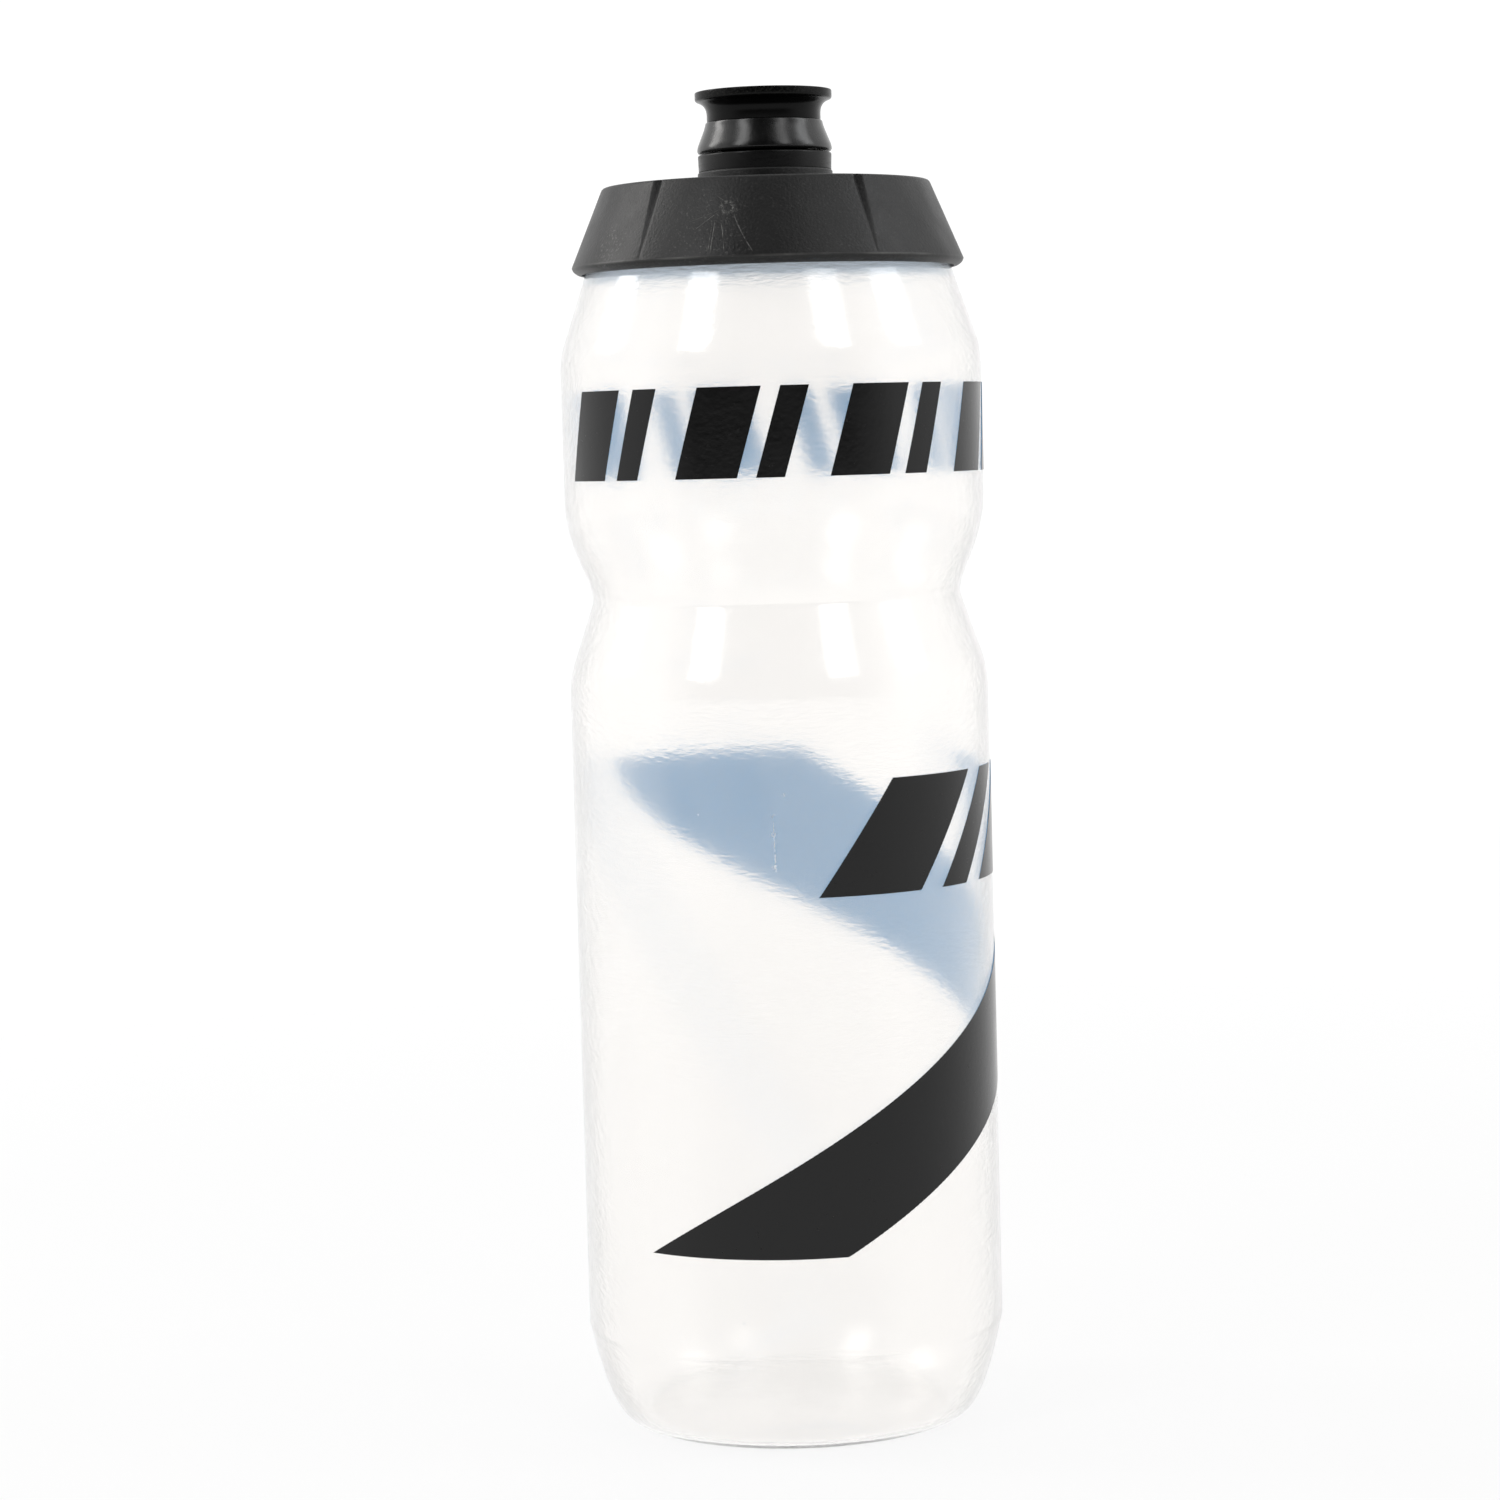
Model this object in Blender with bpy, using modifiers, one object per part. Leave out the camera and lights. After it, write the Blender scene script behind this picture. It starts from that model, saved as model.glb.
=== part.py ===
"""A squeezable bicycle bottle with a screw cap and a push-pull mouthpiece.

Metres, +Z up, origin at the centre of the base ring. The pieces share one turning axis, Z. The front is -Y.
At rest the cap is screwed home and the mouthpiece is pushed down, so that the stopper pin closes its hole.
"""

import math

import bmesh
import bpy
from mathutils import Matrix, Vector
from mathutils.geometry import interpolate_bezier

MM = 0.001

# Driving dimensions, in millimetres.
BODY_R = 37.0
BASE_RING_R = 29.6
BASE_RING_IN_R = 26.5
BASE_CREASE_Z = 17.0
PUSH_UP_Z = 4.5
WAIST_LOW_Z = 132.0
WAIST_R = 32.4
WAIST_Z = 145.3
WAIST_TOP_Z = 162.5
SHOULDER_Z = 185.0
SHOULDER_R = 36.3
SHOULDER_CONE_Z = 190.0
CONE_TOP_R = 31.9
CONE_TOP_Z = 203.0
LEDGE_Z = 204.4
NECK_R = 25.2
NECK_BORE_R = 23.8
RIM_Z = 214.0
WALL = 1.2

THREAD_PITCH = 4.0
THREAD_Z = 206.3
NECK_THREAD_TURNS = 1.5
NECK_THREAD_R = 1.1
CAP_THREAD_R = 1.15
CAP_THREAD_TURNS = (0.53, 1.75)
STEPS_A_TURN = 40

CAP_TOP_Z = 217.5
CAP_TOP_R = 28.6
CAP_RIM_R = 34.35
CAP_RIM_Z = 203.8
CAP_FOOT_Z = 202.5
CAP_CEILING_Z = 215.7
CAP_BORE_R = 26.8
CAP_COLLAR_R = 28.2
CAP_COLLAR_Z = 205.2
CAP_WALL = 1.75
STUB_R = 11.8
STUB_BORE_R = 9.6
STUB_TOP_Z = 219.9
GROOVES = 5
FIRST_GROOVE_DEG = 32.7
GROOVE_WIDTH = 2.2
GROOVE_DEPTH = 1.0
GROOVE_END_Z = 207.0

HOUSING_R = 11.8
HOUSING_TOP_Z = 222.8
SLEEVE_R = 9.3
SLEEVE_BORE_R = 8.3
SLEEVE_FOOT_Z = 210.3
STOP_RIB_R = 7.85
STOP_RIB_Z = 220.9

CONE_FOOT_R = 11.8
CONE_FOOT_Z = 223.1
CONE_HEAD_R = 10.2
CONE_HEAD_Z = 228.4
STEM_R = 7.6
STEM_BORE_R = 6.2
STEM_FOOT_Z = 212.7
SPIGOT_R = 8.4
SPIGOT_TOP_Z = 231.3

TIP_NECK_R = 9.95
TIP_NECK_Z = 229.6
LIP_R = 11.97
TOP_Z = 233.7
DRINK_HOLE_R = 3.75

GAP = 0.3

PIN_R = 2.0
PIN_HEAD_R = DRINK_HOLE_R - GAP
SPIDER_Z = 210.6
SPIDER_HEIGHT = 1.4
SPOKES = 3

CURVE_STEPS = 6


def clear_scene():
    for obj in list(bpy.data.objects):
        bpy.data.objects.remove(obj, do_unlink=True)


def new_collection(name):
    collection = bpy.data.collections.new(name)
    bpy.context.scene.collection.children.link(collection)
    return collection


def plastic(name, colour, roughness, alpha=1.0):
    material = bpy.data.materials.new(name)
    material.use_nodes = True
    shader = material.node_tree.nodes["Principled BSDF"]
    shader.inputs["Base Color"].default_value = (*colour, 1.0)
    shader.inputs["Roughness"].default_value = roughness
    shader.inputs["Metallic"].default_value = 0.0
    shader.inputs["Alpha"].default_value = alpha
    material.diffuse_color = (*colour, alpha)
    return material


def bezier(start, out_of_start, into_end, end, steps=CURVE_STEPS):
    """Points (r, z) along one Bezier stretch, both ends included."""
    corners = [Vector((r, z, 0)) for r, z in (start, out_of_start, into_end, end)]
    return [(p.x, p.y) for p in interpolate_bezier(*corners, steps)]


def inset(outline, depth):
    """The outline moved sideways by depth, to the left of its direction of travel."""
    points = [Vector(p) for p in outline]
    moved = []
    for i, point in enumerate(points):
        before = (point - points[i - 1]).normalized() if i else None
        after = (points[i + 1] - point).normalized() if i + 1 < len(points) else None
        before, after = before or after, after or before
        side = Vector((-before.y - after.y, before.x + after.x)).normalized()
        spread = side.dot(Vector((-before.y, before.x)))
        moved.append(tuple(point + side * depth / max(spread, 0.5)))
    return moved


def turned(name, outline, segments, closed, material, collection):
    """A solid of revolution: the outline (r, z) in millimetres, turned about Z by a Screw modifier."""
    mesh = bpy.data.meshes.new(name)
    points = [(r * MM, 0, z * MM) for r, z in outline]
    edges = [(i, i + 1) for i in range(len(points) - 1)]
    if closed:
        edges.append((len(points) - 1, 0))
    mesh.from_pydata(points, edges, [])
    mesh.materials.append(material)
    obj = bpy.data.objects.new(name, mesh)
    collection.objects.link(obj)
    screw = obj.modifiers.new("turn", "SCREW")
    screw.axis = "Z"
    screw.angle = math.tau
    screw.steps = segments
    screw.render_steps = segments
    screw.use_merge_vertices = True
    screw.merge_threshold = 0.00001
    screw.use_smooth_shade = True
    return obj


def helper(obj, collection):
    """Marks a cutter, or a shape that is only joined to another, as no piece of its own."""
    collection.objects.link(obj)
    obj.hide_render = True
    obj.display_type = "WIRE"
    return obj


def join_or_cut(obj, tool, operation):
    boolean = obj.modifiers.new(tool.name, "BOOLEAN")
    boolean.operation = operation
    boolean.solver = "EXACT"
    boolean.object = tool


def helix_ridge(name, radius, base_z, turns, ridge_radius, collection):
    """A round thread ridge along a right-hand helix, thinning out at both ends, as a mesh."""
    first, last = turns
    steps = round((last - first) * STEPS_A_TURN)
    curve = bpy.data.curves.new(name, "CURVE")
    curve.dimensions = "3D"
    curve.bevel_depth = ridge_radius * MM
    curve.bevel_resolution = 2
    curve.use_fill_caps = True
    spline = curve.splines.new("POLY")
    spline.points.add(steps)
    for i, point in enumerate(spline.points):
        turn = first + i / STEPS_A_TURN
        angle = turn * math.tau
        z = base_z + THREAD_PITCH * turn
        point.co = (radius * MM * math.cos(angle), radius * MM * math.sin(angle), z * MM, 1)
        point.radius = min(1.0, 0.35 + 0.2 * min(i, steps - i))
    drawn = bpy.data.objects.new(name + "_curve", curve)
    collection.objects.link(drawn)
    graph = bpy.context.evaluated_depsgraph_get()
    mesh = bpy.data.meshes.new_from_object(drawn.evaluated_get(graph))
    mesh.name = name
    shape = bmesh.new()
    shape.from_mesh(mesh)
    bmesh.ops.remove_doubles(shape, verts=shape.verts, dist=0.000001)
    bmesh.ops.recalc_face_normals(shape, faces=shape.faces)
    shape.to_mesh(mesh)
    shape.free()
    ridge = bpy.data.objects.new(name, mesh)
    ridge.matrix_world = drawn.matrix_world
    bpy.data.objects.remove(drawn)
    return helper(ridge, collection)


def body_outline():
    """The blown body from the top of its shoulder down to the centre of its base, outside only."""
    waist = bezier(
        (BODY_R, WAIST_TOP_Z),
        (BODY_R - 0.4, WAIST_TOP_Z - 9.0),
        (WAIST_R + 0.1, WAIST_Z + 4.7),
        (WAIST_R, WAIST_Z),
        7,
    )
    shoulder = bezier(
        (SHOULDER_R, SHOULDER_CONE_Z),
        (SHOULDER_R + 0.5, SHOULDER_CONE_Z - 1.7),
        (BODY_R, SHOULDER_Z + 2.0),
        (BODY_R, SHOULDER_Z),
        4,
    )
    base = bezier(
        (BODY_R, BASE_CREASE_Z),
        (BODY_R - 1.6, BASE_CREASE_Z - 7.0),
        (BASE_RING_R + 3.4, 0.6),
        (BASE_RING_R, 0.0),
        7,
    )
    push_up = bezier((BASE_RING_IN_R, 0.0), (22.0, 3.2), (12.0, PUSH_UP_Z), (0.0, PUSH_UP_Z), 5)
    return [(CONE_TOP_R, CONE_TOP_Z), *shoulder, *waist, (BODY_R, WAIST_LOW_Z), *base, *push_up]


def make_bottle(parts, helpers, milky):
    outside = body_outline()
    inside = inset(outside, -WALL)[::-1]
    inside[0] = (0.0, PUSH_UP_Z + WALL)
    neck_inside = [(30.4, LEDGE_Z - 1.8), (NECK_BORE_R + 0.9, LEDGE_Z - 1.2)]
    neck_inside += [(NECK_BORE_R, LEDGE_Z - 0.3), (NECK_BORE_R, RIM_Z - 0.3)]
    rim = [(NECK_BORE_R + 0.3, RIM_Z), (NECK_R - 0.3, RIM_Z)]
    neck_outside = [(NECK_R, RIM_Z - 0.3), (NECK_R, LEDGE_Z + 0.6), (NECK_R + 0.8, LEDGE_Z)]
    ledge = [(CONE_TOP_R - 0.8, LEDGE_Z - 0.5)]
    outline = inside + neck_inside + rim + neck_outside + ledge + outside
    bottle = turned("bottle_body", outline, STEPS_A_TURN, False, milky, parts)
    ridge = helix_ridge(
        "neck_thread", NECK_R, THREAD_Z, (0.0, NECK_THREAD_TURNS), NECK_THREAD_R, helpers
    )
    join_or_cut(bottle, ridge, "UNION")
    return bottle


def groove_cutter(collection):
    """Five slim pyramids that lie along the cap's cone, each pointing down to where its groove ends."""
    slope = (CAP_RIM_R - CAP_TOP_R) / (CAP_TOP_Z - CAP_RIM_Z)
    end = Vector((CAP_TOP_R + slope * (CAP_TOP_Z - GROOVE_END_Z), 0, GROOVE_END_Z))
    top = Vector((CAP_TOP_R, 0, CAP_TOP_Z))
    reach = 1.25
    depth = (end - top).length * reach
    down = (end - top).normalized()
    across = Vector((0, 1, 0))
    frame = Matrix((across, down.cross(across), down)).transposed().to_4x4()
    frame.translation = end - down * depth / 2
    shape = bmesh.new()
    for i in range(GROOVES):
        # The first groove's angle is measured from -Y, the front, towards +X.
        turn = math.radians(FIRST_GROOVE_DEG - 90 + i * 360 / GROOVES)
        wide = Matrix.Diagonal((GROOVE_WIDTH / 2 * reach, GROOVE_DEPTH * reach, 1, 1))
        bmesh.ops.create_cone(
            shape,
            cap_ends=True,
            segments=4,
            radius1=1,
            radius2=0.0,
            depth=depth,
            matrix=Matrix.Scale(MM, 4) @ Matrix.Rotation(turn, 4, "Z") @ frame @ wide,
        )
    bmesh.ops.remove_doubles(shape, verts=shape.verts, dist=0.000001)
    bmesh.ops.recalc_face_normals(shape, faces=shape.faces)
    mesh = bpy.data.meshes.new("grip_grooves")
    shape.to_mesh(mesh)
    shape.free()
    return helper(bpy.data.objects.new("grip_grooves", mesh), collection)


def make_cap(parts, helpers, black):
    slope = (CAP_RIM_R - CAP_TOP_R) / (CAP_TOP_Z - CAP_RIM_Z)
    recess_top = CAP_CEILING_Z - 2.7
    recess_r = CAP_TOP_R + slope * (CAP_TOP_Z - recess_top) - CAP_WALL
    seal_r = STUB_R - 0.6
    stub = [(seal_r, STUB_TOP_Z), (STUB_R - 0.2, STUB_TOP_Z), (STUB_R, STUB_TOP_Z - 0.2)]
    stub += [(STUB_R, CAP_TOP_Z + 0.4), (STUB_R + 0.4, CAP_TOP_Z)]
    shell = [(CAP_TOP_R - 0.55, CAP_TOP_Z), (CAP_TOP_R - 0.15, CAP_TOP_Z - 0.15)]
    shell += [(CAP_TOP_R + 0.25, CAP_TOP_Z - 0.6), (CAP_RIM_R, CAP_RIM_Z)]
    foot = [(CAP_RIM_R - 0.3, CAP_RIM_Z - 0.55), (CAP_RIM_R - 0.95, CAP_FOOT_Z + 0.15)]
    foot += [(CAP_RIM_R - 1.3, CAP_FOOT_Z), (CAP_RIM_R - CAP_WALL, CAP_FOOT_Z)]
    foot += [(CAP_RIM_R - CAP_WALL, CAP_RIM_Z + 0.2)]
    recess = [(recess_r, recess_top), (CAP_COLLAR_R, recess_top), (CAP_COLLAR_R, CAP_COLLAR_Z)]
    bore = [(CAP_BORE_R, CAP_COLLAR_Z), (CAP_BORE_R, CAP_CEILING_Z)]
    seat = [(STUB_BORE_R, CAP_CEILING_Z), (STUB_BORE_R, STUB_TOP_Z - 1.5), (seal_r, STUB_TOP_Z - 1.5)]
    outline = stub + shell + foot + recess + bore + seat
    cap = turned("screw_cap", outline, STEPS_A_TURN, True, black, parts)
    ridge = helix_ridge(
        "cap_thread",
        CAP_BORE_R + 0.05,
        THREAD_Z - THREAD_PITCH / 2,
        CAP_THREAD_TURNS,
        CAP_THREAD_R,
        helpers,
    )
    join_or_cut(cap, ridge, "UNION")
    join_or_cut(cap, groove_cutter(helpers), "DIFFERENCE")
    return cap


def make_gasket(parts, rubber):
    low, high = RIM_Z + GAP, CAP_CEILING_Z - GAP
    inner, outer = NECK_BORE_R - 0.1, CAP_BORE_R - 0.4
    outline = [(inner, high), (outer, high), (outer, low), (inner, low)]
    return turned("cap_gasket", outline, STEPS_A_TURN, True, rubber, parts)


def make_housing(parts, gloss):
    top = [(STOP_RIB_R, HOUSING_TOP_Z - 0.3), (STOP_RIB_R + 0.3, HOUSING_TOP_Z)]
    top += [(HOUSING_R - 0.3, HOUSING_TOP_Z), (HOUSING_R, HOUSING_TOP_Z - 0.3)]
    collar = [(HOUSING_R, STUB_TOP_Z + GAP + 0.2), (HOUSING_R - 0.2, STUB_TOP_Z + GAP)]
    barb_top = CAP_CEILING_Z - GAP
    sleeve = [(SLEEVE_R, STUB_TOP_Z + GAP), (SLEEVE_R, barb_top), (SLEEVE_R + 0.9, barb_top - 0.1)]
    sleeve += [(SLEEVE_R + 0.9, barb_top - 0.6), (SLEEVE_R, barb_top - 1.8)]
    sleeve += [(SLEEVE_R, SLEEVE_FOOT_Z), (SLEEVE_BORE_R, SLEEVE_FOOT_Z)]
    rib = [(SLEEVE_BORE_R, STOP_RIB_Z), (STOP_RIB_R, STOP_RIB_Z)]
    return turned("valve_housing", top + collar + sleeve + rib, 32, True, gloss, parts)


def make_housing_seal(parts, rubber):
    """An O-ring in the pocket round the sleeve, at the top of the cap's stub."""
    ring_r = 0.5
    middle_r = SLEEVE_R + GAP + ring_r
    bpy.ops.mesh.primitive_torus_add(
        major_radius=middle_r * MM,
        minor_radius=ring_r * MM,
        major_segments=32,
        minor_segments=8,
        location=(0, 0, (STUB_TOP_Z - 0.7) * MM),
    )
    seal = bpy.context.object
    seal.name = seal.data.name = "housing_seal"
    for collection in list(seal.users_collection):
        collection.objects.unlink(seal)
    parts.objects.link(seal)
    seal.data.materials.append(rubber)
    seal.data.shade_smooth()
    return seal


def make_core(parts, helpers, black):
    """The stopper pin, standing on three spokes inside a ring at the sleeve's foot."""
    ring_r = SLEEVE_BORE_R - GAP
    ring_in_r = STEM_BORE_R + 0.4
    ring_top = SPIDER_Z + SPIDER_HEIGHT
    ring = [(ring_in_r, ring_top), (ring_r, ring_top), (ring_r, SPIDER_Z), (ring_in_r, SPIDER_Z)]
    core = turned("valve_core", ring, 32, True, black, parts)
    head_foot, head_top = SPIGOT_TOP_Z + 0.5, TOP_Z - 0.5
    pin = [(0, head_top), (PIN_HEAD_R - 0.4, head_top), (PIN_HEAD_R, head_top - 0.4)]
    pin += [(PIN_HEAD_R, head_foot), (PIN_R, head_foot - 1.6), (PIN_R, SPIDER_Z), (0, SPIDER_Z)]
    stopper = turned("stopper_pin", pin, 24, False, black, helpers)
    stopper.hide_render = True
    stopper.display_type = "WIRE"
    shape = bmesh.new()
    inner, outer = PIN_R - 0.4, ring_in_r + 0.7
    for i in range(SPOKES):
        turn = Matrix.Rotation(i * math.tau / SPOKES, 4, "Z")
        place = Matrix.Translation(((inner + outer) / 2, 0, SPIDER_Z + SPIDER_HEIGHT / 2))
        size = Matrix.Diagonal((outer - inner, 1.2, SPIDER_HEIGHT - 0.2, 1))
        bmesh.ops.create_cube(shape, size=1, matrix=Matrix.Scale(MM, 4) @ turn @ place @ size)
    mesh = bpy.data.meshes.new("core_spokes")
    shape.to_mesh(mesh)
    shape.free()
    spokes = helper(bpy.data.objects.new("core_spokes", mesh), helpers)
    join_or_cut(core, spokes, "UNION")
    join_or_cut(core, stopper, "UNION")
    return core


def make_mouthpiece_base(parts, gloss):
    spigot = [(STEM_BORE_R, SPIGOT_TOP_Z - 0.2), (STEM_BORE_R + 0.2, SPIGOT_TOP_Z)]
    spigot += [(SPIGOT_R - 0.2, SPIGOT_TOP_Z), (SPIGOT_R, SPIGOT_TOP_Z - 0.2), (SPIGOT_R, CONE_HEAD_Z)]
    cone = [(CONE_HEAD_R - 0.2, CONE_HEAD_Z), (CONE_HEAD_R, CONE_HEAD_Z - 0.2)]
    cone += [(CONE_FOOT_R, CONE_FOOT_Z + 0.3), (CONE_FOOT_R - 0.2, CONE_FOOT_Z)]
    seal_low, seal_high = STEM_FOOT_Z + 1.4, STEM_FOOT_Z + 3.2
    stem = [(STEM_R, CONE_FOOT_Z), (STEM_R, seal_high), (STEM_R - 0.6, seal_high)]
    stem += [(STEM_R - 0.6, seal_low), (STEM_R, seal_low), (STEM_R, STEM_FOOT_Z + 0.3)]
    stem += [(STEM_R - 0.3, STEM_FOOT_Z), (STEM_BORE_R, STEM_FOOT_Z)]
    return turned("mouthpiece_base", spigot + cone + stem, 32, True, gloss, parts)


def make_bite_tip(parts, gloss):
    top = [(DRINK_HOLE_R, TOP_Z - 0.6), (DRINK_HOLE_R + 0.4, TOP_Z - 0.25)]
    top += [(LIP_R - 1.2, TOP_Z), (LIP_R - 0.3, TOP_Z)]
    lip = [(LIP_R, TOP_Z - 0.3), (LIP_R, TOP_Z - 1.3)]
    flare = bezier(
        (LIP_R - 0.2, TOP_Z - 1.6),
        (LIP_R - 1.4, TOP_Z - 2.0),
        (TIP_NECK_R, TIP_NECK_Z + 1.2),
        (TIP_NECK_R, TIP_NECK_Z),
    )
    bore_r = SPIGOT_R + GAP
    foot = [(TIP_NECK_R, CONE_HEAD_Z + GAP), (bore_r, CONE_HEAD_Z + GAP)]
    bore = [(bore_r, SPIGOT_TOP_Z + GAP), (DRINK_HOLE_R, SPIGOT_TOP_Z + GAP)]
    return turned("bite_tip", top + lip + flare + foot + bore, 32, True, gloss, parts)


def make_stem_seal(parts, rubber):
    low, high = STEM_FOOT_Z + 1.4 + GAP, STEM_FOOT_Z + 3.2 - GAP
    inner, outer = STEM_R - 0.6 + GAP, SLEEVE_BORE_R - GAP
    lip = (outer, (low + high) / 2)
    outline = [(inner, high), (outer - 0.1, high), lip, (outer - 0.1, low), (inner, low)]
    return turned("stem_seal", outline, 32, True, rubber, parts)


def axis_empty(name, collection, parent):
    """An empty on the common axis, which carries the pieces of one moving group."""
    empty = bpy.data.objects.new(name, None)
    empty.empty_display_size = 10 * MM
    collection.objects.link(empty)
    empty.parent = parent
    return empty


def main():
    clear_scene()
    parts = new_collection("bike_bottle")
    helpers = new_collection("cutters")
    milky = plastic("milky_ldpe", (0.90, 0.90, 0.88), 0.35, 0.55)
    black = plastic("matte_black_pp", (0.025, 0.025, 0.026), 0.55)
    gloss = plastic("gloss_black_pp", (0.012, 0.012, 0.013), 0.18)
    rubber = plastic("black_rubber", (0.02, 0.02, 0.02), 0.7)
    bottle = make_bottle(parts, helpers, milky)
    screwed = axis_empty("cap_axis", parts, bottle)
    pulled = axis_empty("mouthpiece_axis", parts, screwed)
    on_cap = [
        make_cap(parts, helpers, black),
        make_gasket(parts, rubber),
        make_housing(parts, gloss),
        make_housing_seal(parts, rubber),
        make_core(parts, helpers, black),
    ]
    on_mouthpiece = [
        make_mouthpiece_base(parts, gloss),
        make_bite_tip(parts, gloss),
        make_stem_seal(parts, rubber),
    ]
    for carrier, pieces in ((screwed, on_cap), (pulled, on_mouthpiece)):
        for piece in pieces:
            piece.parent = carrier


main()
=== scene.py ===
"""The looks of a squeezable bicycle bottle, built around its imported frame.

Every outline is in millimetres, as (r, z) points that run down the outside and back up the inside.
Angles round the bottle are in degrees from the front, -Y, and grow towards +X.
"""

import math

import bmesh
import bpy
from mathutils import Matrix, Vector
from mathutils.geometry import interpolate_bezier


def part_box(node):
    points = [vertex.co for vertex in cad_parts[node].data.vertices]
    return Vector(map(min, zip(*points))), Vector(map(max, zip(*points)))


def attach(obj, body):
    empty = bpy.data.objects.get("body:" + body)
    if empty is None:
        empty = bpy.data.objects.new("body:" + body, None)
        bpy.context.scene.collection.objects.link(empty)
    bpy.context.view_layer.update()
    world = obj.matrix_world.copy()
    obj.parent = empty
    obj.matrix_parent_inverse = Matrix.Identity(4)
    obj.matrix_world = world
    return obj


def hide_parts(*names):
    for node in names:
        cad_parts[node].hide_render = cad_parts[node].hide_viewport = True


MM = 0.001

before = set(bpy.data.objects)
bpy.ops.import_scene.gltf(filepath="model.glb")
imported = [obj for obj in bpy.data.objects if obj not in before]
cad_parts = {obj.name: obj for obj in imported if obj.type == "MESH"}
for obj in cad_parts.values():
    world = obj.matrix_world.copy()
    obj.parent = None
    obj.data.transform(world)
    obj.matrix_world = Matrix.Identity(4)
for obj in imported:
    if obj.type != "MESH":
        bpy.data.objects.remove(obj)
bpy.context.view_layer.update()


def top_of(node):
    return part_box(node)[1].z / MM


def foot_of(node):
    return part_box(node)[0].z / MM


def radius_of(node):
    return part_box(node)[1].x / MM


# The body, from its own box and a few named places.
INK_GAP = 0.05
INK_THICKNESS = 0.06
BODY_R = radius_of("bottle_body") - INK_GAP - INK_THICKNESS
RIM_Z = top_of("bottle_body")
BASE_RING_R = 29.6
BASE_RING_IN_R = 26.5
BASE_CREASE_Z = 17.0
PUSH_UP_Z = 4.5
WAIST_LOW_Z = 132.0
WAIST_R = 32.4
WAIST_Z = 145.3
WAIST_TOP_Z = 162.5
SHOULDER_Z = 185.0
SHOULDER_R = 36.3
SHOULDER_CONE_Z = 190.0
CONE_TOP_R = 31.9
CONE_TOP_Z = 203.0
LEDGE_Z = 204.4
NECK_R = 25.2
NECK_BORE_R = 23.8
WALL = 1.2

# The thread, on the neck and in the cap. Each end rises from RUN_OUT_START of the full height.
THREAD_PITCH = 4.0
THREAD_Z = 206.3
NECK_THREAD_TURNS = (0.0, 1.5)
CAP_THREAD_TURNS = (0.53, 1.75)
THREAD_HEIGHT = 1.1
RUN_OUT_TURNS = 0.075
RUN_OUT_START = 0.1

# The cap. Points within CAP_SKIN of its cone are its outside, and can be moved by a groove or a mark.
CAP_RIM_R = radius_of("screw_cap")
CAP_FOOT_Z = foot_of("screw_cap")
STUB_TOP_Z = top_of("screw_cap")
CAP_RIM_Z = CAP_FOOT_Z + 1.3
CAP_TOP_Z = STUB_TOP_Z - 2.4
CAP_TOP_R = 28.6
CAP_CEILING_Z = CAP_TOP_Z - 1.8
CAP_BORE_R = 26.8
CAP_COLLAR_R = 28.2
CAP_COLLAR_Z = LEDGE_Z + 0.8
CAP_WALL = 1.75
CAP_SLOPE = (CAP_RIM_R - CAP_TOP_R) / (CAP_TOP_Z - CAP_RIM_Z)
CAP_SKIN = 1.3
STUB_R = 11.8
STUB_BORE_R = 9.6

# The cap's grip grooves, each with a fine crease that runs on down to the rim.
GROOVES = 5
FIRST_GROOVE_DEG = 32.7
GROOVE_HALF_WIDTH = 1.15
GROOVE_DEPTH = 0.85
GROOVE_LENGTH = 7.4
CREASE_HALF_WIDTH = 0.3
CREASE_DEPTH = 0.07
CREASE_END_Z = CAP_RIM_Z + 0.5
CREASE_FADE = 1.5
GROOVE_REACH_DEG = 3.45
GROOVE_COLUMNS = 10

# The gate mark on the front of the cap: a dimple with a low rim, whose width is a share of GATE_R.
GATE_DEG = -12.1
GATE_Z = 212.1
GATE_R = 0.8
GATE_DEPTH = 0.9
GATE_NARROWING = 1.15
GATE_RIM_HEIGHT = 0.2
GATE_RIM_WIDTH = 0.7
GATE_REACH_DEG = 3.3
GATE_COLUMNS = 24

# The valve and the mouthpiece.
HOUSING_R = radius_of("valve_housing")
HOUSING_TOP_Z = top_of("valve_housing")
SLEEVE_R = 9.3
SLEEVE_BORE_R = 8.3
SLEEVE_FOOT_Z = foot_of("valve_housing")
STOP_RIB_R = 7.85
STOP_RIB_Z = HOUSING_TOP_Z - 1.9
STEM_FOOT_Z = foot_of("mouthpiece_base")
SPIGOT_TOP_Z = top_of("mouthpiece_base")
CONE_FOOT_R = radius_of("mouthpiece_base")
CONE_FOOT_Z = HOUSING_TOP_Z + 0.3
CONE_HEAD_R = 10.2
CONE_HEAD_Z = 228.4
STEM_R = 7.6
STEM_BORE_R = 6.2
SEAL_GROOVE_DEPTH = 0.6
SEAL_GROOVE_LOW_Z = STEM_FOOT_Z + 1.4
SEAL_GROOVE_HIGH_Z = STEM_FOOT_Z + 3.2
SPIGOT_R = 8.4
LIP_R = radius_of("bite_tip")
LIP_TOP_Z = top_of("bite_tip")
TIP_NECK_R = 9.95
TIP_NECK_Z = 229.6
DRINK_HOLE_R = 3.75
GAP = 0.3
SEAM = 0.02
PIN_R = 2.0
PIN_HEAD_R = DRINK_HOLE_R - GAP
PIN_TOP_Z = top_of("valve_core")
SPIDER_Z = foot_of("valve_core")
SPIDER_THICKNESS = 1.4
SPOKES = 3
SPOKE_WIDTH = 1.2
SPOKE_BEVEL = 0.15

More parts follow.
